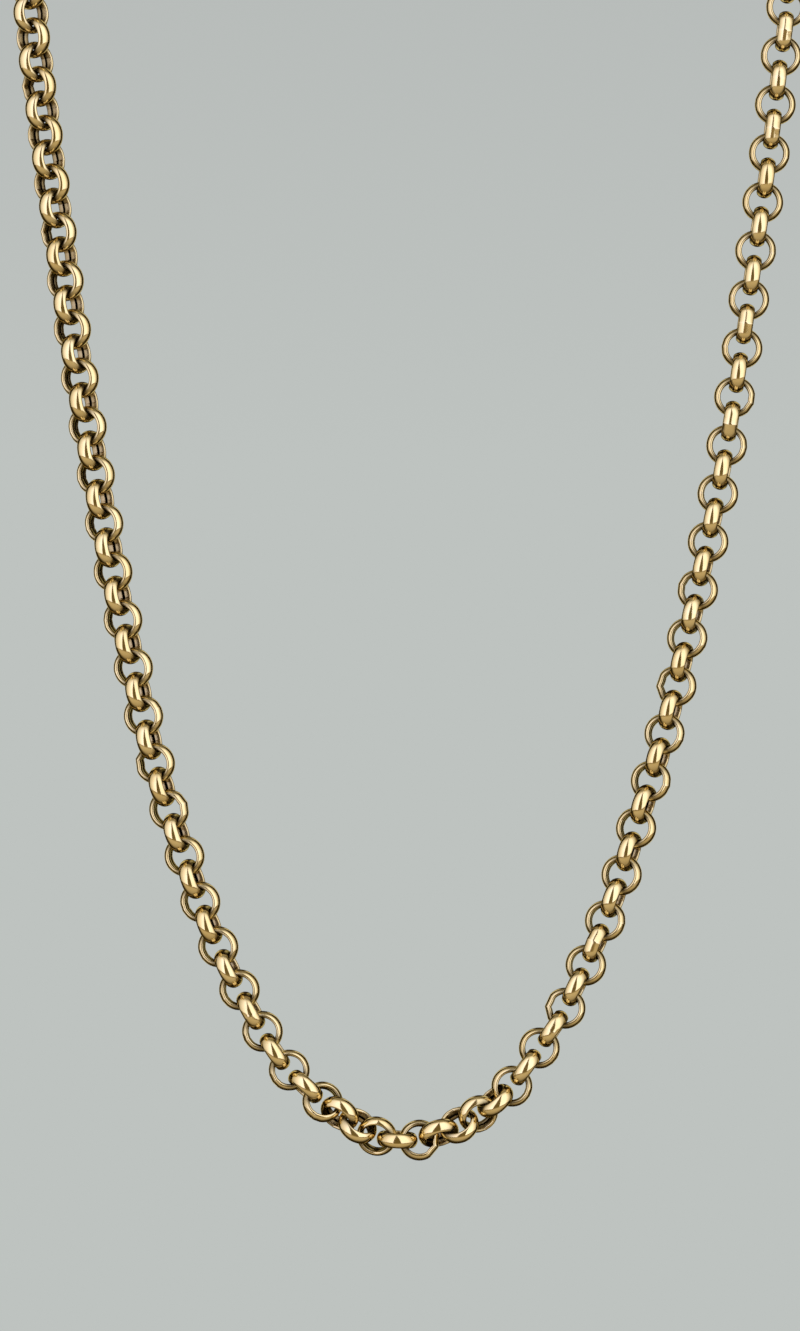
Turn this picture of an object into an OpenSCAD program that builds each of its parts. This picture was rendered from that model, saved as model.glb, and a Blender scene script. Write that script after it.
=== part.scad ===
// Rolo necklace chain: round links of half-round band in a closed loop that hangs over a neck.
// Frame: X across the loop, Y through it from front to back, Z up.
// The origin is the top of the neck or bar that the loop hangs on. Millimetres.

/* [Link] */
// Outer diameter of one round link
link_od = 6.06; // [5.8:0.02:7]
// Width of the band that a link is bent from, along the link's own axis
band_w = 2.16; // [1.8:0.02:2.2]
// Thickness of the band from its inner wall to the crown of its dome
band_t = 0.96; // [0.86:0.02:1]
// Rounding of the two edges of the inner wall
edge_r = 0.28; // [0.24:0.02:0.4]
// Least clear distance between two links that pull on each other
link_gap = 0.13; // [0.1:0.01:0.2]

/* [Loop] */
// Diameter of the neck or bar that the loop hangs on
neck_d = 106; // [90:1:130]
// Height from the top of that neck down to the middle of the lowest link
drop = 232; // [200:1:300]

/* [Clasp] */
// Outer diameter of the ring of the clasp
clasp_od = 9; // [8:0.1:12]
// Diameter of the tube that the ring of the clasp is bent from
clasp_tube_d = 1.7; // [1.3:0.05:2]
// Diameter of the bolt that closes the ring
bolt_d = 1.1; // [0.8:0.05:1.2]
// Outer diameter of the small end ring that is soldered to the clasp
end_ring_od = 4.8; // [4.6:0.1:6]
// Diameter of the wire of the end ring
end_ring_wire_d = 0.85; // [0.6:0.05:1]
// Diameter of the thumb stud that draws the bolt back
stud_d = 0.9; // [0.6:0.05:1.2]
// Height of the thumb stud above the tube
stud_h = 0.8; // [0.5:0.05:1.2]

/* [Hidden] */
gold = [0.85, 0.68, 0.36];

// Band section: the dome is one arc that runs tangent into the two rounded inner edges
link_r = link_od / 2;
bore_r = link_r - band_t;
edge_z = band_w / 2 - edge_r;
dome_r = (edge_z * edge_z / (band_t - 2 * edge_r) + band_t) / 2;
dome_mid = link_r - dome_r;
edge_mid = bore_r + edge_r;
blend_share = dome_r / (dome_r - edge_r);
blend_r = dome_mid + blend_share * (edge_mid - dome_mid);
blend_z = blend_share * edge_z;

// Taut pitch: two links at right angles bear on each other at their rounded inner edges.
// bearing_gap is their clear distance at a pitch, and taut_pitch halves an interval until it fits.
function bearing_gap(pitch) =
    min([for (turn = [0:0.5:60])
        norm([2 * edge_mid * cos(turn) - pitch,
              sqrt(2) * (edge_mid * sin(turn) - edge_z)])]) - 2 * edge_r;
function taut_pitch(low, high, steps) =
    steps == 0 ? low :
    bearing_gap((low + high) / 2) > link_gap
        ? taut_pitch((low + high) / 2, high, steps - 1)
        : taut_pitch(low, (low + high) / 2, steps - 1);
full_pitch = taut_pitch(link_r, 2 * bore_r, 20);

// Route of the middle line of each strand, from the clasp down to the slack links at the bottom:
// a quarter circle over the neck, then the hanging strand. across is a share of half the loop's
// width, down a share of the way from the middle of the neck to the lowest link, roll turns the
// links about the line in degrees, and close is the share of the taut pitch at which they hang.
arch_r = neck_d / 2 + link_r;
arch_mid_z = -neck_d / 2;
fall = drop - neck_d / 2;
arch_step = 14;
arch_turns = 6;
left_arch_roll = 40;
left_arch_close = 0.97;
right_arch_close = 0.985;
left_end_roll = 106;
left_end_close = 0.93;
right_end_close = 0.95;
ACROSS = 0;
DOWN = 1;
ROLL = 2;
CLOSE = 3;
LEFT_STRAND = [
    // across, down, roll, close
    [-0.988, 0.070, 44, 0.99],
    [-0.952, 0.170, 50, 1],
    [-0.915, 0.255, 55, 0.995],
    [-0.880, 0.333, 60, 1],
    [-0.831, 0.430, 64, 1],
    [-0.775, 0.530, 67, 1],
    [-0.722, 0.609, 70, 1],
    [-0.666, 0.687, 72, 0.99],
    [-0.589, 0.764, 74, 0.99],
    [-0.501, 0.839, 78, 0.98],
    [-0.385, 0.909, 86, 0.965],
    [-0.313, 0.942, 92, 0.95]
];
RIGHT_STRAND = [
    // across, down, roll, close
    [0.988, 0.068, 0, 0.99],
    [0.968, 0.124, 0, 1],
    [0.936, 0.207, 0, 1],
    [0.898, 0.290, 0, 1],
    [0.860, 0.374, 2, 1],
    [0.820, 0.450, 6, 1],
    [0.763, 0.538, 11, 1],
    [0.675, 0.659, 16, 1],
    [0.600, 0.738, 17, 1],
    [0.521, 0.814, 14, 0.99],
    [0.413, 0.889, 7, 0.97],
    [0.344, 0.923, 3, 0.96]
];

// The slack links at the bottom, from left to right, each as it lies there: right and up from the
// lowest point and back from the loop's plane in taut pitches, then the turn of the link's axis
// to the right and its tip upwards in degrees
low_across = -0.03;
RIGHT = 0;
UP = 1;
BACK = 2;
TURN = 3;
TIP = 4;
LOW_LINKS = [
    // right, up, back, turn, tip
    [-3.02, 1.57, -0.01, 11, 14],
    [-2.33, 1.10, -0.02, -38, -40],
    [-1.61, 0.60, 0, 36, 42],
    [-0.83, 0.18, 0.02, -12, -18],
    [0, 0.05, -0.02, 60, 86],
    [0.90, 0.02, 0, 2, 10],
    [1.68, 0.31, 0.02, 28, -58],
    [2.50, 0.63, -0.01, -24, 38],
    [3.28, 1.08, 0.02, 20, -28],
    [3.97, 1.62, -0.04, -64, 48],
    [4.65, 2.21, -0.02, 2, -2]
];
low_left_count = 5;
function low_x(row) = low_across * arch_r + row[RIGHT] * full_pitch;
function low_z(row) = row[UP] * full_pitch - drop;

// side is -1 on the left and 1 on the right. Each route ends on the first slack link it meets.
function arch_rows(side, foot_roll, close) = [for (k = [0:arch_turns])
    [side * arch_r * sin(k * arch_step), arch_mid_z + arch_r * cos(k * arch_step),
        foot_roll * k / arch_turns, close]];
function strand_rows(table) = [for (row = table)
    [row[ACROSS] * arch_r, arch_mid_z - row[DOWN] * fall, row[ROLL], row[CLOSE]]];
LEFT_END = LOW_LINKS[0];
RIGHT_END = LOW_LINKS[len(LOW_LINKS) - 1];
LEFT_ROUTE = concat(arch_rows(-1, left_arch_roll, left_arch_close), strand_rows(LEFT_STRAND),
    [[low_x(LEFT_END), low_z(LEFT_END), left_end_roll, left_end_close]]);
RIGHT_ROUTE = concat(arch_rows(1, 0, right_arch_close), strand_rows(RIGHT_STRAND),
    [[low_x(RIGHT_END), low_z(RIGHT_END), 0, right_end_close]]);

// One smooth line through a route's rows, cut into short steps, and the number of pitches that
// fit into it up to each step
steps_per_row = 12;
function smooth(a, b, c, d, t) =
    0.5 * (2 * b + (c - a) * t + (2 * a - 5 * b + 4 * c - d) * t * t
        + (3 * b - a - 3 * c + d) * t * t * t);
function route_at(route, u) =
    let (last = len(route) - 1, row = min(floor(u), last - 1))
    smooth(route[max(row - 1, 0)], route[row], route[row + 1], route[min(row + 2, last)], u - row);
function line_of(route) =
    [for (k = [0:(len(route) - 1) * steps_per_row]) route_at(route, k / steps_per_row)];
function step_pitches(line, k) =
    norm([line[k].x - line[k - 1].x, line[k].y - line[k - 1].y])
        / (full_pitch * (line[k][CLOSE] + line[k - 1][CLOSE]) / 2);
function run_up(line, done) =
    len(done) == len(line) ? done :
    run_up(line, concat(done, [done[len(done) - 1] + step_pitches(line, len(done))]));
function column(line, pitches, c) = [for (k = [0:len(line) - 1]) [pitches[k], line[k][c]]];

LEFT_LINE = line_of(LEFT_ROUTE);
RIGHT_LINE = line_of(RIGHT_ROUTE);
LEFT_PITCHES = run_up(LEFT_LINE, [0]);
RIGHT_PITCHES = run_up(RIGHT_LINE, [0]);

// Clasp: its ring lies flat at the top of the loop, and its end ring follows the line on the right
clasp_r = clasp_od / 2 - clasp_tube_d / 2;
clasp_bore_r = clasp_od / 2 - clasp_tube_d;
end_ring_r = end_ring_od / 2 - end_ring_wire_d / 2;
end_ring_bore_r = end_ring_od / 2 - end_ring_wire_d;
solder_sink = clasp_tube_d / 4;
end_ring_x = clasp_od / 2 + end_ring_r - solder_sink;
clasp_slack = 0.45;
tube_start = -60;
tube_sweep = 270;
stud_turn = 100;
left_reach = clasp_bore_r + bore_r - clasp_slack;
right_reach = end_ring_x + end_ring_bore_r + bore_r - clasp_slack;
arch_top_z = arch_mid_z + arch_r;
end_ring_turn = end_ring_x / arch_r * 180 / PI / 2;

// Links of a strand, closed up a little so that the last one meets the slack links at right
// angles: an odd number of pitches on the left and an even number on the right
left_start = left_reach / full_pitch;
right_start = right_reach / full_pitch;
left_run = LEFT_PITCHES[len(LEFT_LINE) - 1] - left_start;
right_run = RIGHT_PITCHES[len(RIGHT_LINE) - 1] - right_start;
left_count = 2 * ceil((left_run - 1) / 2) + 1;
right_count = 2 * ceil(right_run / 2);
heading_step = 0.4;

// Facets of the round shapes
link_facets = 72;
dome_facets = 120;
edge_facets = 40;
clasp_facets = 96;
wire_facets = 48;

// Half-round band section, its inner wall towards the link's middle
module band_section() {
    polygon([
        [bore_r, -edge_z],
        [bore_r, edge_z],
        [edge_mid, edge_z],
        [blend_r, blend_z],
        [blend_r, -blend_z],
        [edge_mid, -edge_z]
    ]);
    for (side = [-1, 1]) {
        translate([edge_mid, side * edge_z]) circle(r = edge_r, $fn = edge_facets);
    }
    intersection() {
        translate([dome_mid, 0]) circle(r = dome_r, $fn = dome_facets);
        translate([blend_r, -band_w]) square([band_t, 2 * band_w]);
    }
}

// One link about its own axis
module chain_link() {
    rotate_extrude($fn = link_facets) band_section();
}

// One strand from the clasp down, each link at right angles to its neighbours
module strand(side, line, pitches, start, run, count) {
    x_column = column(line, pitches, 0);
    z_column = column(line, pitches, 1);
    roll_column = column(line, pitches, ROLL);
    for (i = [0:count - 1]) {
        at = start + run * i / count;
        run_x = lookup(at - heading_step, x_column) - lookup(at + heading_step, x_column);
        run_z = lookup(at - heading_step, z_column) - lookup(at + heading_step, z_column);
        translate([lookup(at, x_column), 0, lookup(at, z_column)])
            rotate([0, -atan2(side * run_z, side * run_x), 0])
                rotate([90 - lookup(at, roll_column) - 90 * (i % 2), 0, 0])
                    chain_link();
    }
}

// The slack links of one half, from row first to row last
module low_links(first, last) {
    for (i = [first:last]) {
        row = LOW_LINKS[i];
        translate([low_x(row), row[BACK] * full_pitch, low_z(row)])
            rotate([90 - row[TIP], 0, row[TURN]])
                chain_link();
    }
}

module left_chain() {
    color(gold) {
        strand(-1, LEFT_LINE, LEFT_PITCHES, left_start, left_run, left_count);
        low_links(0, low_left_count - 1);
    }
}

module right_chain() {
    color(gold) {
        strand(1, RIGHT_LINE, RIGHT_PITCHES, right_start, right_run, right_count);
        low_links(low_left_count, len(LOW_LINKS) - 1);
    }
}

// Bolt ring with its end ring, made as one closed piece
module clasp() {
    color(gold)
        translate([0, 0, arch_top_z])
            rotate([0, end_ring_turn, 0]) {
                rotate_extrude($fn = clasp_facets)
                    translate([clasp_r, 0]) circle(d = bolt_d, $fn = wire_facets);
                rotate([0, 0, tube_start])
                    rotate_extrude(angle = tube_sweep, $fn = clasp_facets)
                        translate([clasp_r, 0]) circle(d = clasp_tube_d, $fn = wire_facets);
                rotate([0, 0, stud_turn])
                    translate([clasp_r, 0, 0])
                        cylinder(d = stud_d, h = clasp_tube_d / 2 + stud_h, $fn = wire_facets);
                translate([end_ring_x, 0, 0])
                    rotate_extrude($fn = link_facets)
                        translate([end_ring_r, 0]) circle(d = end_ring_wire_d, $fn = wire_facets);
            }
}

left_chain();
right_chain();
clasp();
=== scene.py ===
# %% [markdown]
# # A rolo chain, dressed link by link
#
# The object is a yellow gold rolo chain, also called a belcher chain: a closed loop of round
# links bent from half-round band, each one turned at right angles to the next. The CAD model
# already hangs every link in its place. This lesson keeps those places and gives the links what
# a plain solid lacks: the slit that a hollow link has along its inside, the joint where the
# band's two ends were soldered, the small dents of wear, and a worn gold finish.
#
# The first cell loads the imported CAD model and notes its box, to compare with at the end.
# Everything is in metres in the CAD's frame: X across the loop, Y away from the viewer, Z up,
# and the origin on top of the neck that the loop hangs on.

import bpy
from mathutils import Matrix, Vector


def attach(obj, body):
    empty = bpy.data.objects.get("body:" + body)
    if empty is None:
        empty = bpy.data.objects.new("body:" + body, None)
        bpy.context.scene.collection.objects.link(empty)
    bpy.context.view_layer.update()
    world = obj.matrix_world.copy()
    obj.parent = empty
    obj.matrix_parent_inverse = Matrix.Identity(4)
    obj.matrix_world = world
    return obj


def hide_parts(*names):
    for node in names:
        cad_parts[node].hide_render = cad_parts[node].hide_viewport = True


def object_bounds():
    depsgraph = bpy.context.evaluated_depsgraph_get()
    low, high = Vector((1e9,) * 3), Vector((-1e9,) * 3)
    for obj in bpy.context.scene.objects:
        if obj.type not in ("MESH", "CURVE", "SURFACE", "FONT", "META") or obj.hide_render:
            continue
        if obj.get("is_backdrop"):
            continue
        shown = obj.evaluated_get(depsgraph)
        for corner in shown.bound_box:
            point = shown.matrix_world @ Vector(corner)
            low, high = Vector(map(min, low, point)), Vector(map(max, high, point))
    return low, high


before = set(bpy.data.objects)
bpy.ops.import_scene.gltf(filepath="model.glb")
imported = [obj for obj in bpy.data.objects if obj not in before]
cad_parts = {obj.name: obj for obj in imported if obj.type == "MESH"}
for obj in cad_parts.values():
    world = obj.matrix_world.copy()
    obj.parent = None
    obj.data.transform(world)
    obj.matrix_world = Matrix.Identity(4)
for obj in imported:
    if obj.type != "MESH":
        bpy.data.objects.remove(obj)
cad_box = [list(corner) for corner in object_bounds()]
print("nodes:", sorted(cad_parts))

# %% [markdown]
# ## Tools for the lesson
#
# Meshes are written point by point with numpy, which is quick even for many thousand points.
# Lengths of the links are given in millimetres, as a goldsmith would, and turned into metres
# only when a mesh is made. Every chance in the lesson comes from a generator with a fixed seed,
# so each run makes the same chain.

# %% Set the units and the modules
import math

import bpy
import numpy as np

MM = 0.001
SCENE = bpy.context.scene
print("a millimetre in metres:", MM)

# %% [markdown]
# ## Where each link hangs
#
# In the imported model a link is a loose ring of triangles. Blender could split a node into its
# loose parts, but that makes 158 objects that are only thrown away again. Here the points that
# edges join get the same number instead, the lowest one among them, by passing numbers along the
# edges until nothing changes. A ring's middle is the middle of its points, and its axis is the
# direction in which they spread least. Reading both back keeps every dressed link exactly where
# the CAD hangs it.

# %% Find the loose parts of each half
def island_labels(point_count, edges):
    """A number for every point, the same for points that edges join."""
    label = np.arange(point_count)
    while True:
        low = np.minimum(label[edges[:, 0]], label[edges[:, 1]])
        joined = label.copy()
        np.minimum.at(joined, edges[:, 0], low)
        np.minimum.at(joined, edges[:, 1], low)
        joined = joined[joined]
        if np.array_equal(joined, label):
            return label
        label = joined


def islands(mesh):
    """The points of each loose part of a mesh."""
    points = np.empty(len(mesh.vertices) * 3)
    mesh.vertices.foreach_get("co", points)
    edges = np.empty(len(mesh.edges) * 2, np.int64)
    mesh.edges.foreach_get("vertices", edges)
    points = points.reshape(-1, 3)
    labels = island_labels(len(points), edges.reshape(-1, 2))
    return [points[labels == label] for label in np.unique(labels)]


LOOSE = {node: islands(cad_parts[node].data) for node in ("left_chain", "right_chain")}
print("loose parts:", {node: len(parts) for node, parts in LOOSE.items()})

# %% Read the middle, axis and reach of each link
SAME_RING = 1.5 * MM
SPARE = 0.001  # mm kept free inside the CAD's outline


def rings_of(loose):
    """A (middle, axis, reach) for each link. Loose faces of one ring are put together first."""
    groups = []
    for part in loose:
        near = [g for g in groups if np.linalg.norm(g[0] - part.mean(0)) < SAME_RING]
        if near:
            near[0][1].append(part)
        else:
            groups.append((part.mean(0), [part]))
    rings = []
    for _, parts in groups:
        points = np.concatenate(parts)
        middle = (points.min(0) + points.max(0)) / 2
        axis = np.linalg.svd(points - points.mean(0), full_matrices=False)[2][2]
        axis = -axis if axis[1] > 0 else axis
        rings.append((middle, axis, np.linalg.norm(points - middle, axis=1).max()))
    return rings


RINGS = {node: rings_of(loose) for node, loose in LOOSE.items()}
ALL_MIDDLES = np.array([ring[0] for rings in RINGS.values() for ring in rings])
ALL_AXES = np.array([ring[1] for rings in RINGS.values() for ring in rings])
REACH = min(ring[2] for rings in RINGS.values() for ring in rings) / MM - SPARE
print({node: len(rings) for node, rings in RINGS.items()}, "outer radius mm:", round(REACH, 3))

# %% [markdown]
# ## The section of the band
#
# A belcher link is bent from half-round band: domed outside, flat inside, with rounded edges
# that don't catch on cloth. On a hollow link the band is thin sheet folded round, and its two
# edges meet in a narrow slit that runs along the inner wall. Looking into a link, that slit is
# the black line in the middle of the wall. A curve with this section as its bevel would give the
# shape, but the finish also has to know which points are wall and which are slit. So the section
# is one closed line of points, the dome first, then an edge, the wall with its slit, and the
# other edge. Two shares beside each point say how far it lies on the wall and in the slit.

# %% Points of the section
BORE_R, BAND_HALF = 2.07, 1.08
EDGE_R, EDGE_MID, EDGE_Z = 0.28, 2.35, 0.8
DOME_R = 1.28
DOME_HALF = math.degrees(math.atan2(4, 3))  # an edge takes over at a slope of 4 to 3
WALL_FROM = 0.45  # share of an edge's turn where the inner wall begins
SLIT_HALF, SLIT_DEEP = 0.18, 0.36
LIP_WIDE, LIP_DEEP = 0.05, 0.015
DOME_STEPS, EDGE_STEPS = 10, 4


def section_points():
    """Rows of radius, height over the link's middle plane, wall share and slit share."""
    dome, edge = [], []
    for k in range(DOME_STEPS + 1):
        turn = math.radians(-DOME_HALF + 2 * DOME_HALF * k / DOME_STEPS)
        radius = REACH - DOME_R + DOME_R * math.cos(turn)
        dome.append((radius, DOME_R * math.sin(turn), 0.0, 0.0))
    for k in range(1, EDGE_STEPS + 1):
        turn = math.radians(DOME_HALF + (180 - DOME_HALF) * k / EDGE_STEPS)
        wall = max(0.0, (k / EDGE_STEPS - WALL_FROM) / (1 - WALL_FROM))
        radius, height = EDGE_MID + EDGE_R * math.cos(turn), EDGE_Z + EDGE_R * math.sin(turn)
        edge.append((radius, height, wall, 0.0))
    lip = [(BORE_R, SLIT_HALF + LIP_WIDE, 1.0, 0.0), (BORE_R + LIP_DEEP, SLIT_HALF, 1.0, 1.0)]
    half = edge + lip
    other_half = [(radius, -height, wall, slit) for radius, height, wall, slit in reversed(half)]
    return np.array(dome + half + [(BORE_R + SLIT_DEEP, 0.0, 1.0, 1.0)] + other_half)


SECTION = section_points()
print("section points:", len(SECTION), "band width mm:", round(np.ptp(SECTION[:, 1]), 3))

# %% [markdown]
# ## The joint and its corner
#
# A link is closed by bringing the band's ends together and soldering them. The last stretch on
# both sides is hard to bend, so it stays straight and the ring gets a corner there, marked on
# some links and hardly felt on others. Bending 158 rings by hand would take days, so one sum
# gives the corner's depth from the angle to the joint. A straight stretch that starts on the
# circle and ends on it again is a chord, so the corner takes metal away on both sides and adds
# none outside the CAD's ring. The solder line itself is a fine groove over the corner.

# %% Stations round a ring and their distance from the joint
STATIONS = 50
NEAR_JOINT = [0.0, 0.9, 2.4, 5.0, 8.5, 12.5]
GROOVE_DEEP, GROOVE_HALF = 0.022, 0.5


def station_angles():
    """Angles round a ring in degrees, close together near the joint at 0."""
    near = sorted({side * turn for turn in NEAR_JOINT for side in (-1, 1)})
    free = STATIONS - len(near)
    step = (360 - 2 * NEAR_JOINT[-1]) / (free + 1)
    return np.array(near + [NEAR_JOINT[-1] + step * (k + 1) for k in range(free)])


ANGLES = np.radians(station_angles())
FROM_JOINT = np.abs((ANGLES + math.pi) % (2 * math.pi) - math.pi)
GROOVE = (FROM_JOINT < math.radians(GROOVE_HALF)) * GROOVE_DEEP


def corner_depth(half):
    """Depth of a corner whose straight sides each span twice the angle half, in mm."""
    half = math.radians(half)
    chord = REACH * math.cos(half) / np.cos(FROM_JOINT - half)
    return np.where(FROM_JOINT < 2 * half, REACH - chord, 0.0)


print("corner of 20 degrees, deepest mm:", round(corner_depth(20).max(), 3))

# %% [markdown]
# ## Where the joints sit
#
# Links pull on each other at their two ends along the chain, so a chain maker turns the joints
# to the sides, where they bear nothing. The chain's run at a link is the line between its two
# nearest neighbours, and the joint is put square to it with some play either way. A joint that
# could face the viewer is mostly at the back. The picture shows ten marked corners, and the
# links nearest to them get one too, turned the same way. A list of places and directions is all
# that needs, since a link whose axis points along the direction can't show a corner there and
# leaves it to the next one.

# %% Choose the links with a marked corner
SEEN_CORNERS = [  # x and z of the link in mm, and the way its corner points
    (-36.8, -175.9, (-1, 0, 0.2)), (23.6, -211.9, (-1, 0, 0.1)), (-54.2, -76.9, (-1, 0, 0)),
    (54.3, -71.4, (0, -1, 0)), (51.8, -86.5, (0, -1, 0)), (39.1, -163.5, (-1, 0, 0)),
    (1.6, -231.9, (0.83, 0, -0.32)), (48.6, -115.9, (0, -1, 0)), (47.3, -123.4, (0, -1, -0.2)),
    (27.3, -202.0, (-0.3, -1, 0.2))]
FLAT_ON, PUT_OFF = 0.7, 99  # axis along the way by this share, and the mm added for it
MARKED = {}
for x, z, way in SEEN_CORNERS:
    off = ALL_MIDDLES / MM - np.array([x, 0, z])
    flat_on = np.abs(ALL_AXES @ np.array(way)) > FLAT_ON
    MARKED[int(np.argmin(np.linalg.norm(off, axis=1) + PUT_OFF * flat_on))] = np.array(way)
for k in sorted(MARKED):
    print("marked corner on link", k, "axis", ALL_AXES[k].round(2), "way", MARKED[k])

# %% Direction of a link's joint
JOINT_PLAY = 14
FACING, FRONT_JOINTS = 0.35, 0.12  # what counts as facing, and the share left at the front
SOFT_CORNER, MARKED_CORNER = (5, 12), 19.5
SHARP_FROM, SHARPER = 0.9, 1.5  # one soft corner in ten is sharper


def neighbours(k):
    """The two links nearest to link k."""
    return np.argsort(np.linalg.norm(ALL_MIDDLES - ALL_MIDDLES[k], axis=1))[1:3]


def joint_of(k, rng):
    """The direction of link k's joint from its middle, and half the angle of its corner."""
    first, second = neighbours(k)
    axis = ALL_AXES[k]
    run = ALL_MIDDLES[first] - ALL_MIDDLES[second]
    run = run - axis * np.dot(run, axis)
    run /= np.linalg.norm(run)
    side = np.cross(axis, run) * rng.choice([-1, 1])
    chance, play, soft = rng.uniform(), rng.uniform(-1, 1), rng.uniform(*SOFT_CORNER)
    if abs(side[1]) > FACING and (side[1] < 0) != (chance < FRONT_JOINTS):
        side = -side
    if k in MARKED:
        way = MARKED[k] - axis * np.dot(MARKED[k], axis)
        return way / np.linalg.norm(way), MARKED_CORNER
    play = math.radians(play * JOINT_PLAY)
    if chance > SHARP_FROM:
        soft *= SHARPER
    return side * math.cos(play) + run * math.sin(play), soft


print("neighbours of link 0:", neighbours(0))

# %% [markdown]
# ## Wear
#
# Years of rubbing and small knocks leave a polished link slightly uneven. A few slow waves run
# round the ring, and shallow dents of random place and size lie on the dome. They are only
# hundredths of a millimetre deep, but a mirror finish shows every one as a bend in its
# highlight. A displace modifier would push metal out as well as in, so the depth is summed here,
# where all of it only takes metal away.

# %% Metal lost from a dome
WAVES, WAVE_DEEP = (2, 3, 5, 8), 0.012
SWELL, PHASE = (0.2, 1.0), (0, 6.28)
DENTS, DENT_DEEP = (4, 9), (0.006, 0.024)
DENT_ACROSS, DENT_LONG, DENT_WIDE = (-0.85, 0.85), (0.25, 0.7), (0.18, 0.4)


def worn_depth(rng):
    """Metal missing from the dome in mm, for each station and each section point."""
    depth = np.repeat(GROOVE[:, None], len(SECTION), 1)
    for waves in WAVES:
        swell = rng.uniform(*SWELL) * WAVE_DEEP / math.sqrt(waves)
        depth += (swell * (1 + np.sin(waves * ANGLES + rng.uniform(*PHASE))))[:, None]
    for _ in range(rng.integers(*DENTS)):
        at, across = rng.uniform(0, 2 * math.pi), rng.uniform(*DENT_ACROSS)
        long, wide = rng.uniform(*DENT_LONG), rng.uniform(*DENT_WIDE)
        along = ((ANGLES - at + math.pi) % (2 * math.pi) - math.pi) * REACH / long
        side = (SECTION[:, 1] - across) / wide
        depth += rng.uniform(*DENT_DEEP) * np.exp(-along[:, None] ** 2 - side[None, :] ** 2)
    return depth


print("deepest wear on a trial link mm:", round(worn_depth(np.random.default_rng(0)).max(), 3))

# %% Points of one ring
def ring_points(k, rng):
    """World points of link k in metres, and the same points in the link's own frame in mm."""
    joint, corner = joint_of(k, rng)
    share = np.clip((SECTION[:, 0] - BORE_R) / (REACH - BORE_R), 0, 1)
    radius = SECTION[None, :, 0] - corner_depth(corner)[:, None] - worn_depth(rng) * share[None, :]
    height = np.broadcast_to(SECTION[None, :, 1], radius.shape)
    out, aside = np.cos(ANGLES)[:, None], np.sin(ANGLES)[:, None]
    own = np.stack([radius * out, radius * aside, height], -1).reshape(-1, 3)
    basis = np.stack([joint, np.cross(ALL_AXES[k], joint), ALL_AXES[k]])
    return ALL_MIDDLES[k] + own @ basis * MM, own


print("points on a link:", STATIONS * len(SECTION))

# %% [markdown]
# ## Painted shade where links touch
#
# Where two links bear on each other, little light gets in, and that shade is painted into the
# colour as dark brown. It could be painted on by hand, but how near a point lies to a neighbour
# can be worked out, since the neighbour is a ring: first the point's distance from the ring's
# axis and its height over the ring's plane, then how far both are outside a flat band.

# %% Nearness to the neighbours
# How far the painted shade where links touch reaches from a neighbour, in mm.
CONTACT_SHADE_REACH = 0.75


def nearness(k, points):
    """1 for points that touch a neighbour of link k, next to nothing 1.5 mm away from it."""
    near = np.zeros(len(points))
    for other in neighbours(k):
        off = (points - ALL_MIDDLES[other]) / MM
        height = off @ ALL_AXES[other]
        radius = np.linalg.norm(off - height[:, None] * ALL_AXES[other], axis=1)
        aside = np.maximum(np.abs(radius - (BORE_R + REACH) / 2) - (REACH - BORE_R) / 2, 0)
        above = np.maximum(np.abs(height) - BAND_HALF, 0)
        near = np.maximum(near, np.exp(-(aside ** 2 + above ** 2) / CONTACT_SHADE_REACH ** 2))
    return near


print("nearness", CONTACT_SHADE_REACH, "mm away:", round(math.exp(-1), 2))

# %% [markdown]
# ## From points to pieces
#
# Two small tools turn grids of points into meshes. The first one makes the four-sided faces of a
# closed section swept round a ring, or along a path, where a flat cap closes each end. The second
# one makes the object, with smooth shading everywhere but over real creases such as the lips of
# the slit, and stores a few numbers at every point for the finish to read: the place in the
# link's own frame, the link's tone, and the shares of wall, slit, nearness and joint.

# %% Mesh tools
CREASE = 44


def grid_faces(stations, section, ring=True):
    """Quads over a grid of stations by section points, with a cap on both ends unless a ring."""
    rows = np.arange(stations if ring else stations - 1)
    a, b = (grid.ravel() for grid in np.meshgrid(rows, np.arange(section), indexing="ij"))
    a2, b2 = (a + 1) % stations, (b + 1) % section
    quads = np.stack([a * section + b, a2 * section + b, a2 * section + b2, a * section + b2], 1)
    first = list(range(section))
    last = [k + (stations - 1) * section for k in reversed(first)]
    return quads.tolist() + ([] if ring else [first, last])


def make_piece(name, node, points, faces, **values):
    """A piece of the object that stands for a CAD node, with numbers stored at its points."""
    mesh = bpy.data.meshes.new(name)
    mesh.from_pydata(points.tolist(), [], faces)
    mesh.polygons.foreach_set("use_smooth", [True] * len(mesh.polygons))
    mesh.set_sharp_from_angle(angle=math.radians(CREASE))
    for label, data in values.items():
        kind, key = ("FLOAT_VECTOR", "vector") if data.ndim == 2 else ("FLOAT", "value")
        store = mesh.attributes.new(label, kind, "POINT")
        store.data.foreach_set(key, data.astype(np.float32).ravel())
    piece = bpy.data.objects.new(name, mesh)
    SCENE.collection.objects.link(piece)
    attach(piece, "root")
    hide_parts(node)
    print(name, "triangles:", sum(len(face) - 2 for face in faces))
    return piece

# %% [markdown]
# ## The two halves of the chain
#
# The chain has far too many links for a piece each, so the left half and the right half are one
# piece each, as in the CAD. One link could be copied along the chain, but then every link would
# show the same dents. Here each one draws its own wear, joint and tone between 0 and 1, because
# links are cut from different lengths of band and take their polish one by one.

# %% Build the halves
JOINT_REACH = math.radians(4)
LEFT_SEED, RIGHT_SEED = 11, 23


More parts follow.
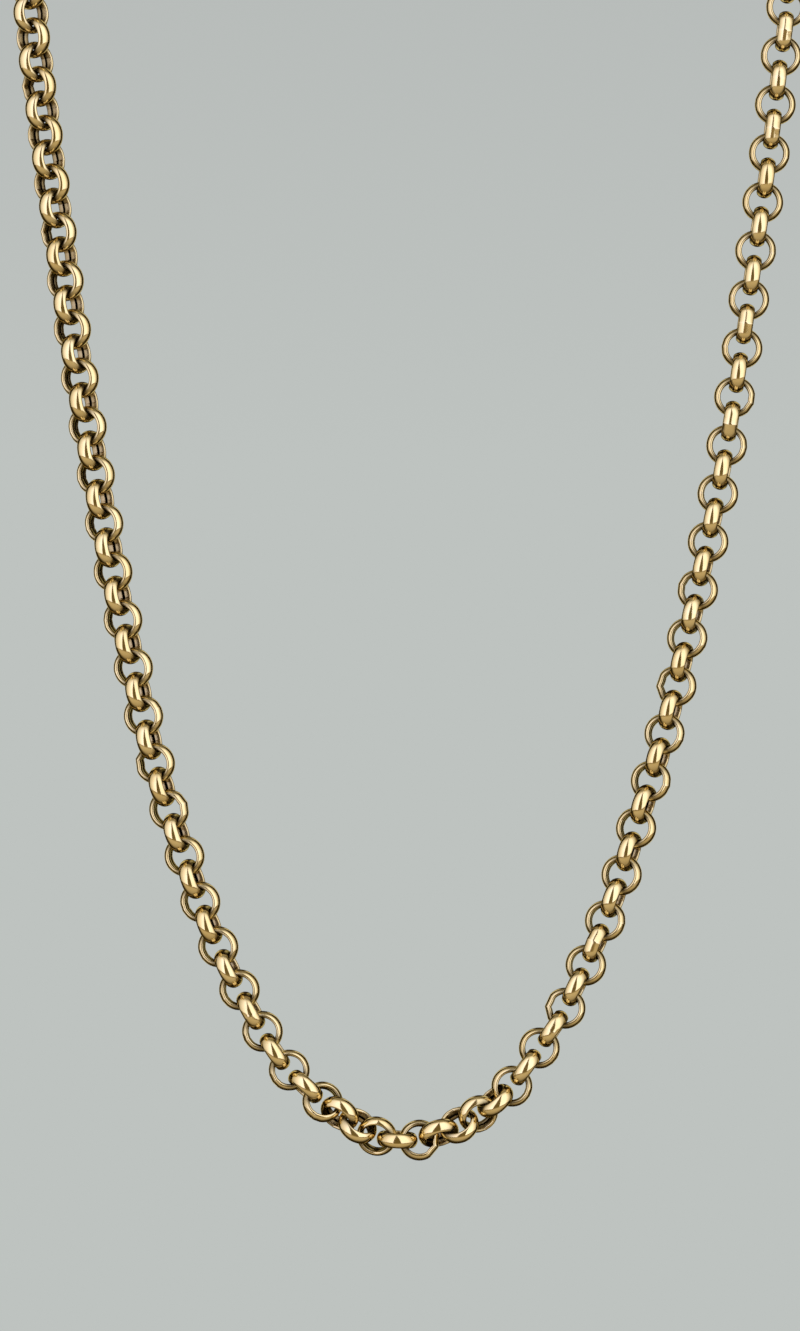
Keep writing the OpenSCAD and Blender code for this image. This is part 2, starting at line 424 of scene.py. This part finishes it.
def half_chain(name, node, first, seed):
    """All links of a node as one piece. first is the number of its first link."""
    rng = np.random.default_rng(seed)
    points, own, near, tone = [], [], [], []
    for k in range(first, first + len(RINGS[node])):
        at, local = ring_points(k, rng)
        points.append(at)
        own.append(local)
        near.append(nearness(k, at))
        tone.append(np.full(len(at), rng.uniform()))
    count, size = len(points), len(points[0])
    one_link = np.array(grid_faces(STATIONS, len(SECTION)))
    faces = np.concatenate([one_link + k * size for k in range(count)]).tolist()
    joint = np.repeat(np.exp(-(FROM_JOINT / JOINT_REACH) ** 2), len(SECTION))
    return make_piece(name, node, np.concatenate(points), faces,
                      own=np.concatenate(own), tone=np.concatenate(tone),
                      near=np.concatenate(near), wall=np.tile(SECTION[:, 2], count * STATIONS),
                      slit=np.tile(SECTION[:, 3], count * STATIONS), joint=np.tile(joint, count))


left_links = half_chain("left_links", "left_chain", 0, LEFT_SEED)
right_links = half_chain("right_links", "right_chain", len(RINGS["left_chain"]), RIGHT_SEED)

# %% [markdown]
# ## The clasp
#
# The clasp sits behind the neck, where the picture doesn't reach, so it is the plainest kind that
# such a chain has: a bolt ring. A tube bent into three quarters of a ring holds a bolt that
# closes the last quarter, a small stud draws the bolt back with a thumbnail, and an end ring is
# soldered on for the last link. It could be cut from whole rings, but rows of circles swept
# along an arc need no cutting and keep their faces even. All of it lies in one plane that leans
# with the arch of the chain, so the parts are shaped in that plane and turned into place
# together.

# %% Place of the clasp
CLASP_R, TUBE_R, BOLT_R = 3.65, 0.85, 0.55
END_X, END_R, WIRE_R = 6.05, 1.975, 0.425
ARCH_R, ARCH_TOP = 56.03, 3.03
CLASP_TURN = END_X / ARCH_R / 2
THIN = 0.002  # mm by which the clasp stays inside the CAD's outline
CLASP_TONE = 0.5


def clasp_place(own):
    """From the clasp's own frame in mm to the row frame in metres."""
    c, s = math.cos(CLASP_TURN), math.sin(CLASP_TURN)
    x, y, z = own.T
    return np.stack([x * c + z * s, y, z * c - x * s + ARCH_TOP], 1) * MM


def clasp_piece(name, grid, wall=None, joint=None):
    """A piece of the clasp from its points and faces in the clasp's own frame."""
    own, faces = grid
    none = np.zeros(len(own))
    return make_piece(name, "clasp", clasp_place(own), faces, own=own, tone=none + CLASP_TONE,
                      wall=none if wall is None else wall, slit=none, near=none,
                      joint=none if joint is None else joint)


print("the clasp leans by degrees:", round(math.degrees(CLASP_TURN), 2))

# %% Tools for round parts
AROUND = 32


def sweep_circle(circle_r, rows, middle_x=0.0, ring=False):
    """A round section swept along a circle. Each row is an angle in degrees and a thickness."""
    turn = np.linspace(0, 2 * math.pi, AROUND, endpoint=False)
    at, thick = np.array(rows).T[:, :, None]
    at = np.radians(at)
    radius = circle_r + thick * np.cos(turn)
    points = [radius * np.cos(at) + middle_x, radius * np.sin(at), thick * np.sin(turn)]
    return np.stack(points, -1).reshape(-1, 3), grid_faces(len(rows), AROUND, ring)


def turned(profile, x, y):
    """A profile of radius and height turned about an upright axis at x, y."""
    turn = np.linspace(0, -2 * math.pi, AROUND, endpoint=False)
    r, z = np.array(profile).T[:, :, None]
    points = np.stack([x + r * np.cos(turn), y + r * np.sin(turn), z + 0 * turn], -1)
    return points.reshape(-1, 3), grid_faces(len(profile), AROUND, False)

# %% [markdown]
# The tube's two ends are cut square and their rims rounded with a file, so they don't scratch.
# The rows run back into the tube for a short way, which makes the mouth that the bolt slides
# through. Near the angle where the end ring is soldered on, solder has filled the corner, so the
# wire of the end ring thickens there.

# %% Build the tube and the bolt
TUBE_FROM, TUBE_TO, TUBE_STEPS = -60.0, 210.0, 60
BOLT_FROM, BOLT_SPAN, BOLT_STEPS = TUBE_TO - 20, 130, 30
RIM, RIM_CUT, RIM_KNEE = 0.12, 0.036, 0.042
MOUTH_DEEP, MOUTH_R = 1.0, BOLT_R + 0.05
DEGREES_PER_MM = math.degrees(1 / CLASP_R)
outside = TUBE_R - THIN
rim = [(MOUTH_DEEP, MOUTH_R), (RIM_CUT, MOUTH_R), (0.0, MOUTH_R + 2 * RIM_CUT),
       (0.0, outside - RIM), (RIM_KNEE, outside - RIM_CUT), (RIM, outside)]
start = [(TUBE_FROM + deep * DEGREES_PER_MM, thick) for deep, thick in rim]
body = [(TUBE_FROM + (TUBE_TO - TUBE_FROM) * k / TUBE_STEPS, outside)
        for k in range(1, TUBE_STEPS)]
end = [(TUBE_TO - deep * DEGREES_PER_MM, thick) for deep, thick in reversed(rim)]
tube_rows = start + body + end
# The rows inside the mouth count as inner wall, so they get the painted shade of an inner wall.
mouth = np.repeat([float(thick <= MOUTH_R) for _, thick in tube_rows], AROUND)
clasp_tube = clasp_piece("clasp_tube", sweep_circle(CLASP_R, tube_rows), wall=mouth)
bolt_rows = [(BOLT_FROM + BOLT_SPAN * k / BOLT_STEPS, BOLT_R - THIN)
             for k in range(BOLT_STEPS + 1)]
clasp_bolt = clasp_piece("clasp_bolt", sweep_circle(CLASP_R, bolt_rows))

# %% Build the stud and the end ring
STUD_AT, STUD_R, STUD_LOW = math.radians(100), 0.448, 0.6
STUD_ROUNDING = [(0, 1.2), (0, 1.42), (0.03, 1.52), (0.09, 1.6), (0.18, 1.648)]  # loss, height
stud = [(STUD_R, STUD_LOW)] + [(STUD_R - loss, height) for loss, height in STUD_ROUNDING]
stud_at = (CLASP_R * math.cos(STUD_AT), CLASP_R * math.sin(STUD_AT))
clasp_stud = clasp_piece("clasp_stud", turned(stud, *stud_at))

RING_STEPS, SOLDER, SOLDER_AT, SOLDER_REACH = 72, 0.16, 180, 15
turns = [360 * k / RING_STEPS for k in range(RING_STEPS)]
solder = [math.exp(-((turn - SOLDER_AT) / SOLDER_REACH) ** 2) for turn in turns]
ring_rows = [(turn, WIRE_R - THIN + SOLDER * more) for turn, more in zip(turns, solder)]
end_ring = clasp_piece("end_ring", sweep_circle(END_R, ring_rows, END_X, True),
                       joint=np.repeat(solder, AROUND))

# %% [markdown]
# ## Tools for the finish
#
# The finish is a net of shader nodes. These short tools add a node, do a sum, mix two colours,
# stretch a range or draw noise, and hand on the socket with the result, so that each effect below
# reads as a few lines. Effects that both golds use are node groups with named inputs and outputs.

# %% Shader tools
def link_or_set(tree, socket, value):
    """Links a socket to an input, or writes a plain value into it."""
    if isinstance(value, bpy.types.NodeSocket):
        tree.links.new(value, socket)
    else:
        socket.default_value = value


def add(tree, kind, inputs=(), **settings):
    """A node with its settings, then its inputs by name as sockets or values."""
    node = tree.nodes.new("ShaderNode" + kind)
    for key, value in settings.items():
        setattr(node, key, value)
    for key, value in dict(inputs).items():
        link_or_set(tree, node.inputs[key], value)
    return node


def calc(tree, operation, a, b=0.0):
    """The result of a sum on two sockets or numbers."""
    return add(tree, "Math", {0: a, 1: b}, operation=operation).outputs[0]


def blend(tree, share, a, b):
    """Colour a turning into colour b as share goes from 0 to 1."""
    node = add(tree, "Mix", data_type="RGBA")
    for key, value in (("Factor_Float", share), ("A_Color", a), ("B_Color", b)):
        link_or_set(tree, next(s for s in node.inputs if s.identifier == key), value)
    return next(s for s in node.outputs if s.identifier == "Result_Color")


def remap(tree, value, low, high, to_low=0.0, to_high=1.0):
    """A value from low to high, spread from to_low to to_high and cut off beyond."""
    return add(tree, "MapRange", {"Value": value, "From Min": low, "From Max": high,
                                  "To Min": to_low, "To Max": to_high}).outputs[0]


def noise(tree, vector, scale, detail=2.0, rough=0.5):
    """Cloudy noise around one half, with its cells 1 / scale wide."""
    return add(tree, "TexNoise", {"Vector": vector, "Scale": scale, "Detail": detail,
                                  "Roughness": rough}).outputs[0]

# %% Node groups with named sockets
def new_group(name, inputs, outputs):
    """A node group. inputs and outputs are pairs of a name and a kind."""
    tree = bpy.data.node_groups.new(name, "ShaderNodeTree")
    for way, sockets in (("INPUT", inputs), ("OUTPUT", outputs)):
        for label, kind in sockets:
            tree.interface.new_socket(label, in_out=way, socket_type="NodeSocket" + kind)
    given = tree.nodes.new("NodeGroupInput").outputs
    result = tree.nodes.new("NodeGroupOutput").inputs
    return tree, given, result

# %% [markdown]
# ## Coordinates that follow the band
#
# Drawing, filing and polishing all leave marks that run with the metal, so the marks need
# coordinates that run with it too. Unwrapping every link would give them, but two sums on the
# link's own frame do it without a map. The first coordinate goes round the link, the second one
# across the band. The place where the round one starts again is put on the solder joint, where a
# break in the marks is what a real link shows. The link's tone shifts the marks from link to
# link.

# %% Group: band coordinates
AROUND_R, TONE_SHIFT = 3.0, 97.0

band_tree, given, result = new_group(
    "band coordinates", [("Own", "Vector"), ("Tone", "Float")], [("Along", "Vector")])
part = add(band_tree, "SeparateXYZ", {0: given["Own"]}).outputs
turn = calc(band_tree, "ARCTAN2", calc(band_tree, "MULTIPLY", part["Y"], -1.0),
            calc(band_tree, "MULTIPLY", part["X"], -1.0))
place = add(band_tree, "CombineXYZ", {
    "X": calc(band_tree, "MULTIPLY", turn, AROUND_R), "Y": part["Z"],
    "Z": calc(band_tree, "MULTIPLY", given["Tone"], TONE_SHIFT)})
band_tree.links.new(place.outputs[0], result["Along"])
print(band_tree.name, "nodes:", len(band_tree.nodes))

# %% [markdown]
# ## Scratches and smudges
#
# Fine scratches could be painted as an image, but noise has no edges or repeats. A scratch set
# is noise stretched into long streaks and cut down to the thin lines where it crosses its middle
# value. One set runs along the band from polishing, two more cross it where the chain was rubbed
# against other things. Patches of another noise keep them from covering everything. Smudges are
# a slow cloud that dulls the mirror here and there, and the height adds up a faint hammered
# unevenness, the scratches and a very fine grain, all in millimetres.

# %% Group: wear marks
SCRATCH_SETS = [  # turn in degrees, stretch, scale and width of the lines
    (4, (0.5, 7, 1), 2.0, 0.010), (47, (0.6, 6, 1), 1.6, 0.008), (-61, (0.6, 6, 1), 1.3, 0.007)]
SCRATCH_DETAIL, SCRATCH_ROUGH = 3.0, 0.6
PATCH_SCALE, PATCHES = 0.5, (0.46, 0.62)
CLOUD_SCALE, CLOUD_DETAIL, SMUDGES, GRAIN_SCALE = 0.9, 1.0, (0.3, 0.7), 7.0
UNEVEN, SCRATCH, GRAIN = 0.011, -0.0010, 0.00008

wear_tree, given, result = new_group(
    "wear marks", [("Own", "Vector"), ("Along", "Vector")],
    [("Scratches", "Float"), ("Smudges", "Float"), ("Height", "Float")])
lines = 0.0
for angle, stretch, scale, width in SCRATCH_SETS:
    laid = add(wear_tree, "Mapping", {
        "Vector": given["Along"], "Rotation": (0, 0, math.radians(angle)),
        "Scale": stretch}).outputs[0]
    streaks = noise(wear_tree, laid, scale, SCRATCH_DETAIL, SCRATCH_ROUGH)
    off = calc(wear_tree, "ABSOLUTE", calc(wear_tree, "SUBTRACT", streaks, 0.5))
    lines = calc(wear_tree, "MAXIMUM", remap(wear_tree, off, 0.0, width, 1.0, 0.0), lines)
patches = remap(wear_tree, noise(wear_tree, given["Own"], PATCH_SCALE), *PATCHES)
lines = calc(wear_tree, "MULTIPLY", lines, patches)
cloud = noise(wear_tree, given["Own"], CLOUD_SCALE, CLOUD_DETAIL)
grain = noise(wear_tree, given["Own"], GRAIN_SCALE)
height = calc(wear_tree, "ADD", calc(wear_tree, "MULTIPLY", cloud, UNEVEN),
              calc(wear_tree, "ADD", calc(wear_tree, "MULTIPLY", lines, SCRATCH),
                   calc(wear_tree, "MULTIPLY", grain, GRAIN)))
wear_tree.links.new(lines, result["Scratches"])
wear_tree.links.new(remap(wear_tree, cloud, *SMUDGES), result["Smudges"])
wear_tree.links.new(height, result["Height"])
print(wear_tree.name, "nodes:", len(wear_tree.nodes))

# %% [markdown]
# ## The colour of worn gold, with painted shade
#
# Nine carat gold is paler than fine gold, and it varies: some links lean to yellow, others to
# rose. The solder is paler still. The inner wall is never polished, and the shade inside the ring
# is painted on it as a dull brown. Painted shade also lies dark brown where links touch, and the
# slit itself is painted almost black, because no light comes back out of a hollow link. Separate
# materials would meet in hard lines, so one colour is built up in layers, each one laid on by a
# number stored at the points.

# %% Group: gold colour
YELLOW, ROSE = (0.880, 0.730, 0.415, 1), (0.80, 0.625, 0.300, 1)
SOLDER_GOLD = (0.86, 0.74, 0.52, 1)
TONE_SHARE, SMUDGE_SHARE, SOLDER_SHARE = 0.6, 0.4, 0.35
# Painted shade: dull brown on the inner wall, dark brown where links touch, almost black in the
# slit.
PAINTED_SHADES = [  # place, greatest share and colour of each painted shade
    ("Wall", 0.52, (0.150, 0.100, 0.065, 1)), ("Near", 0.96, (0.080, 0.055, 0.020, 1)),
    ("Slit", 1.0, (0.008, 0.004, 0.001, 1))]

tone_tree, given, result = new_group(
    "gold colour",
    [(label, "Float") for label in ("Tone", "Smudges", "Wall", "Slit", "Near", "Joint")],
    [("Color", "Color"), ("Dullness", "Float")])
rosy = calc(tone_tree, "ADD", calc(tone_tree, "MULTIPLY", given["Tone"], TONE_SHARE),
            calc(tone_tree, "MULTIPLY", given["Smudges"], SMUDGE_SHARE))
gold = blend(tone_tree, rosy, YELLOW, ROSE)
at_joint = calc(tone_tree, "MULTIPLY", given["Joint"], SOLDER_SHARE)
gold = blend(tone_tree, at_joint, gold, SOLDER_GOLD)
dullness = 0.0
# Each painted shade darkens the gold by its share, and the same share also dulls the metal.
for place, share, color in PAINTED_SHADES:
    shade_share = calc(tone_tree, "MULTIPLY", given[place], share)
    gold = blend(tone_tree, shade_share, gold, color)
    dullness = calc(tone_tree, "MAXIMUM", shade_share, dullness)
tone_tree.links.new(gold, result["Color"])
tone_tree.links.new(dullness, result["Dullness"])
print(tone_tree.name, "nodes:", len(tone_tree.nodes))

# %% [markdown]
# ## Two golds
#
# A polished surface is a mirror with a little haze. The haze grows with smudges and scratches,
# on the inner wall and where links touch, the places that also get painted shade, and a clasp
# that is handled every day starts out a little duller than the links. One roughness for all the
# metal would look like plastic, so the haze is a sum of those marks. Both golds are the same net
# with another starting haze. Seen at a slant, gold mirrors nearly white unless its edge is tinted,
# and worn gold stays yellow there.

# %% Group: gold haze
HAZE_SHARES = (("Smudges", 0.05), ("Scratches", 0.07), ("Dullness", 0.30))

haze_tree, given, result = new_group(
    "gold haze", [(label, "Float") for label in ("Start", "Smudges", "Scratches", "Dullness")],
    [("Roughness", "Float")])
haze = given["Start"]
for label, share in HAZE_SHARES:
    haze = calc(haze_tree, "ADD", haze, calc(haze_tree, "MULTIPLY", given[label], share))
haze_tree.links.new(haze, result["Roughness"])
print(haze_tree.name, "nodes:", len(haze_tree.nodes))

# %% Materials of the chain and the clasp
GRAZING = (0.62, 0.56, 0.34, 1)
CHAIN_HAZE, CLASP_HAZE = 0.07, 0.11


def stored(tree, label, output="Fac"):
    """The number or vector stored at the points of a mesh under a name."""
    node = add(tree, "Attribute", attribute_type="GEOMETRY", attribute_name=label)
    return node.outputs[output]


def gold_material(name, start):
    """Worn gold whose haze starts at a given roughness."""
    material = bpy.data.materials.new(name)
    material.use_nodes = True
    tree = material.node_tree
    shader = tree.nodes["Principled BSDF"]
    shader.inputs["Metallic"].default_value = 1.0
    shader.inputs["Specular Tint"].default_value = GRAZING
    own, tone = stored(tree, "own", "Vector"), stored(tree, "tone")
    band = add(tree, "Group", {"Own": own, "Tone": tone}, node_tree=band_tree).outputs
    wear = add(tree, "Group", {"Own": own, "Along": band["Along"]}, node_tree=wear_tree).outputs
    gold = add(tree, "Group", {
        "Tone": tone, "Smudges": wear["Smudges"], "Wall": stored(tree, "wall"),
        "Slit": stored(tree, "slit"), "Near": stored(tree, "near"),
        "Joint": stored(tree, "joint")}, node_tree=tone_tree).outputs
    haze = add(tree, "Group", {
        "Start": start, "Smudges": wear["Smudges"], "Scratches": wear["Scratches"],
        "Dullness": gold["Dullness"]}, node_tree=haze_tree).outputs
    bump = add(tree, "Bump", {"Height": wear["Height"], "Distance": MM}).outputs
    tree.links.new(gold["Color"], shader.inputs["Base Color"])
    tree.links.new(haze["Roughness"], shader.inputs["Roughness"])
    tree.links.new(bump["Normal"], shader.inputs["Normal"])
    print(name, "nodes:", len(tree.nodes))
    return material


chain_gold = gold_material("chain gold", CHAIN_HAZE)
clasp_gold = gold_material("clasp gold", CLASP_HAZE)
for piece in (left_links, right_links):
    piece.data.materials.append(chain_gold)
for piece in (clasp_tube, clasp_bolt, clasp_stud, end_ring):
    piece.data.materials.append(clasp_gold)

# %% [markdown]
# ## Light panels
#
# Polished metal shows its surroundings, so lighting it means building what it mirrors. The
# picture was taken between two big soft lights. Each dome shows them as two cream streaks, and
# between them a dull wedge that widens downwards, where the camera stands. Area lamps would show
# as even rectangles. So each panel here is a curved grid round the chain, whose inner edge slants
# for that wedge and whose glow fades and turns warmer outwards. Two narrow panels at the back do
# the same for views from behind.

# %% Panel tool
MIDDLE_Z = -0.1625
PANEL_FAR, PANEL_CELLS = 1.25, 14
PANEL_TOP, TOP_DIM = 0.7, 0.6  # a panel dims above this share of its height, by this share
FADED_LIGHT = (1.48, 1.28, 0.86, 1)


def bare_material(name):
    """A material without nodes, and its node tree."""
    material = bpy.data.materials.new(name)
    material.use_nodes = True
    material.node_tree.nodes.clear()
    return material, material.node_tree


def toward(azimuth, elevation, distance):
    """The point in a direction from the chain's middle. Azimuth 0 is at the viewer, 90 at +X."""
    a, e = math.radians(azimuth), math.radians(elevation)
    return (distance * math.sin(a) * math.cos(e), -distance * math.cos(a) * math.cos(e),
            MIDDLE_Z + distance * math.sin(e))


def light_panel(name, inner, outer, color, fade, dim):
    """A lit panel between two edges, each (azimuth at its foot, at its head, lowest, highest).
    Over its outer share fade, the glow falls by the share dim."""
    steps = np.linspace(0, 1, PANEL_CELLS + 1)
    points, glow = [], []
    for s in steps:
        foot, head, low, high = (a * (1 - s) + b * s for a, b in zip(inner, outer))
        for t in steps:
            points.append(toward(foot + (head - foot) * t, low + (high - low) * t, PANEL_FAR))
            far, top = max(0, (s - 1 + fade) / fade), max(0, (t - PANEL_TOP) / (1 - PANEL_TOP))
            glow.append((1 - dim * far) * (1 - TOP_DIM * top ** 2))
    row = PANEL_CELLS + 1
    corners = [i * row + j for i in range(PANEL_CELLS) for j in range(PANEL_CELLS)]
    mesh = bpy.data.meshes.new(name)
    mesh.from_pydata(points, [], [(k, k + 1, k + row + 1, k + row) for k in corners])
    mesh.attributes.new("glow", "FLOAT", "POINT").data.foreach_set("value", glow)
    material, tree = bare_material(name)
    level = stored(tree, "glow")
    light = blend(tree, level, FADED_LIGHT, color)
    lamp = add(tree, "Emission", {"Color": light, "Strength": level})
    add(tree, "OutputMaterial", {"Surface": lamp.outputs[0]})
    mesh.materials.append(material)
    panel = bpy.data.objects.new(name, mesh)
    SCENE.collection.objects.link(panel)
    panel.visible_camera = False
    panel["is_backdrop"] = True
    print(name, "glow from", round(min(glow), 2), "to", round(max(glow), 2))

# %% Hang the panels
LEFT_LIGHT, RIGHT_LIGHT = (1.50, 1.48, 1.80, 1), (1.50, 1.50, 1.66, 1)
BACK_LIGHT = (1.05, 1.02, 0.95, 1)
PANELS = [  # name, inner edge, outer edge, light, fade and dim
    ("left panel", (-25, -3, -33, 84), (-108, -108, -14, 70), LEFT_LIGHT, 0.8, 0.6),
    ("right panel", (25, 3, -33, 84), (104, 104, -14, 70), RIGHT_LIGHT, 0.5, 0.7),
    ("back panel", (-150, -150, -30, 50), (-172, -172, -30, 50), BACK_LIGHT, 0.5, 0.88),
    ("back panel", (150, 150, -30, 50), (172, 172, -30, 50), BACK_LIGHT, 0.5, 0.88)]
for panel in PANELS:
    light_panel(*panel)

# %% [markdown]
# ## The room
#
# What the eye sees behind the chain, what the metal mirrors and what lights the floor needn't be
# the same, and a light path node tells them apart, so that no walls have to be built. Straight
# behind, the room is a pale plain backdrop, a touch darker towards the top. In mirror images it
# is dark at the sides, olive brown behind the camera, and tan on the floor in front, which begins
# at a darker line just under the panels. A dome shows that line level, so the tan starts at one
# fall: how far a way points down against how far it points to the viewer. A weak glow hangs
# overhead. And the room lights the floor evenly, so that the floor has nearly the backdrop's
# shade and its far edge hardly shows.

# %% World
BACKDROP, BACKDROP_TOP = (0.515, 0.545, 0.527, 1), (0.480, 0.505, 0.492, 1)
ROOM, WEDGE, OVERHEAD = (0.030, 0.019, 0.004, 1), (0.17, 0.125, 0.050, 1), (0.32, 0.28, 0.20, 1)
TAN, TAN_LINE, TAN_LOW = (0.60, 0.50, 0.34, 1), (0.26, 0.19, 0.09, 1), (0.42, 0.34, 0.22, 1)
EVEN_LIGHT = (1, 1, 1, 1)
# Each colour starts at the first limit and is full at the second one.
FRONT_Y, WEDGE_Y = (0.25, -0.15), (-0.35, -0.75)
LINE_FALL, TAN_FALL, LOW_FALL = (-0.20, -0.29), (-0.32, -0.375), (-0.48, -0.87)
OVERHEAD_Z, BACKDROP_Z = (0.80, 0.97), (0.03, 0.10)

world = bpy.data.worlds.new("room")
SCENE.world = world
world.use_nodes = True
tree = world.node_tree
tree.nodes.clear()
ray = add(tree, "LightPath").outputs
way = add(tree, "SeparateXYZ", {0: add(tree, "TexCoord").outputs["Generated"]}).outputs
fall = calc(tree, "DIVIDE", way["Z"], calc(tree, "SUBTRACT", 1.0, way["Y"]))
tan = blend(tree, remap(tree, fall, *TAN_FALL), TAN_LINE, TAN)
tan = blend(tree, remap(tree, fall, *LOW_FALL), tan, TAN_LOW)
before = calc(tree, "MULTIPLY", remap(tree, way["Y"], *FRONT_Y), remap(tree, fall, *LINE_FALL))
mirrored = blend(tree, remap(tree, way["Y"], *WEDGE_Y), ROOM, WEDGE)
mirrored = blend(tree, before, mirrored, tan)
mirrored = blend(tree, remap(tree, way["Z"], *OVERHEAD_Z), mirrored, OVERHEAD)
seen = blend(tree, remap(tree, way["Z"], *BACKDROP_Z), BACKDROP, BACKDROP_TOP)
shown = blend(tree, ray["Is Camera Ray"], mirrored, seen)
shown = blend(tree, ray["Is Diffuse Ray"], shown, EVEN_LIGHT)
add(tree, "OutputWorld", {"Surface": add(tree, "Background", {"Color": shown}).outputs[0]})
print(world.name, "nodes:", len(tree.nodes))

# %% Floor
FLOOR_Z, FLOOR_HALF = -1.3, 9.5
corners = [(x * FLOOR_HALF, y * FLOOR_HALF, FLOOR_Z)
           for x, y in ((-1, -1), (1, -1), (1, 1), (-1, 1))]
mesh = bpy.data.meshes.new("floor")
mesh.from_pydata(corners, [], [(0, 1, 2, 3)])
material, tree = bare_material("floor paper")
paper = add(tree, "BsdfDiffuse", {"Color": BACKDROP})
add(tree, "OutputMaterial", {"Surface": paper.outputs[0]})
mesh.materials.append(material)
floor = bpy.data.objects.new("floor", mesh)
SCENE.collection.objects.link(floor)
floor.visible_glossy = False
floor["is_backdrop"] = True
print("floor metres below the origin:", -FLOOR_Z)

# %% [markdown]
# ## The camera
#
# The picture looks straight at the chain from the front with a long lens, so near and far links
# look the same size. A short lens close by would show the outer links from the side. The frame
# covers 195 mm of height at the chain, which leaves the top of the loop out as the picture does.

# %% Camera
FRAME_HEIGHT, CAMERA_X, CAMERA_FAR, SENSOR = 0.1947, -0.00127, 1.0, 36
camera = bpy.data.objects.new("camera", bpy.data.cameras.new("camera"))
SCENE.collection.objects.link(camera)
camera.location = (CAMERA_X, -CAMERA_FAR, MIDDLE_Z)
camera.rotation_euler = (math.radians(90), 0, 0)
camera.data.sensor_width = SENSOR
camera.data.lens = SENSOR * CAMERA_FAR / FRAME_HEIGHT
SCENE.camera = camera
SCENE.view_settings.view_transform = "Standard"
print("lens mm:", round(camera.data.lens, 1))

# %% [markdown]
# ## Check the size
#
# The dressed chain should fill the CAD model's box. The cell below measures its box and prints
# whether it stays inside.

# %% Measure the box and compare it
ROUNDING = 1e-6
visual_box = [list(corner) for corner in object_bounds()]
(cad_low, cad_high), (low, high) = cad_box, visual_box
past = [max(cad_low[i] - low[i], high[i] - cad_high[i]) for i in range(3)]
print("inside the CAD box:", max(past) <= ROUNDING)
